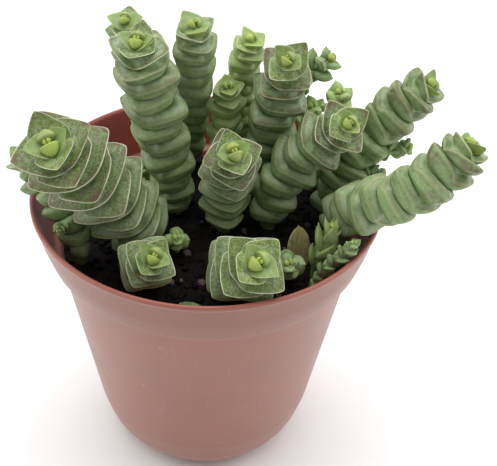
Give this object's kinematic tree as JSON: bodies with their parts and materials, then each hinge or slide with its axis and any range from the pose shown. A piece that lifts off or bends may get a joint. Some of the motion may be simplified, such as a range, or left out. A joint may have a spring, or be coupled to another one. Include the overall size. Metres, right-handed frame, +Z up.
{
  "type": "potted succulent",
  "caption": "Jade necklace succulent with stems of stacked pointed leaf pairs leaning out of a round tapered nursery pot.",
  "frame": {"origin": "middle of the pot's flat underside", "axes": "+Z up along the pot's axis, +X to the right and +Y away from the front view"},
  "size_m": [0.1046, 0.085, 0.1194],
  "materials": {
    "pot_plastic": "matt",
    "soil": "rough",
    "leaf_green": "waxy",
    "leaf_dry": "dry"
  },
  "bodies": {
    "root": {"pot": "pot_plastic", "soil": "soil", "stem_big_left": "leaf_green", "stem_front_left": "leaf_green", "stem_front_middle": "leaf_green", "stem_middle": "leaf_green", "stem_tall_left": "leaf_green", "stem_tall_middle": "leaf_green", "stem_right_middle": "leaf_green", "stem_right_upper": "leaf_green", "stem_right_lower": "leaf_green", "stem_back_left": "leaf_green", "stem_back_middle": "leaf_green", "stem_back_right": "leaf_green", "stem_back_short": "leaf_green", "stem_over_rim": "leaf_green", "stem_behind_left": "leaf_green", "stem_behind_right": "leaf_green", "shoot_pointed": "leaf_green", "shoot_right": "leaf_green", "shoot_front": "leaf_green", "shoot_rim": "leaf_green", "shoot_left": "leaf_green", "shoot_back": "leaf_green", "leaf_withered": "leaf_dry", "leaf_fallen": "leaf_green"}
  },
  "joints": []
}
